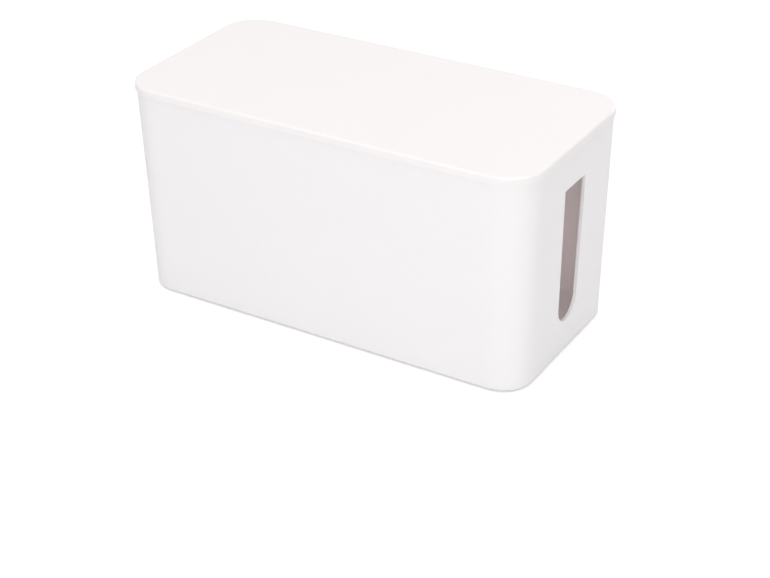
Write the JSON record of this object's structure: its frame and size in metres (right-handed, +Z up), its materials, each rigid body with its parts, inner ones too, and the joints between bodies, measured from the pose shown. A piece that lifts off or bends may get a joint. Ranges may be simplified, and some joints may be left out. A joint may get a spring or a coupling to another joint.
{
  "type": "cable management box",
  "caption": "Box with rounded corners, drafted walls, a tall cable slot in each end and a flat lift-off lid; hides a short power strip and its spare cable.",
  "frame": {"origin": "on the table, in the plane of the feet, under the centre of the box", "axes": "+X along the length towards the right end, +Y towards the rear wall, +Z up through the lid"},
  "size_m": [0.235, 0.113, 0.1197],
  "materials": {
    "tub_plastic": "satin white",
    "lid_plastic": "satin white",
    "foot_rubber": "matt grey"
  },
  "bodies": {
    "box": {"box_body": "tub_plastic", "foot_front_left": "foot_rubber", "foot_front_right": "foot_rubber", "foot_rear_left": "foot_rubber", "foot_rear_right": "foot_rubber"},
    "lid": {"lid": "lid_plastic"}
  },
  "joints": [
    {"name": "lid_lift", "type": "slide", "parent": "box", "child": "lid", "axis": [0, 0, 1], "range_m": [0, 0.12]}
  ]
}
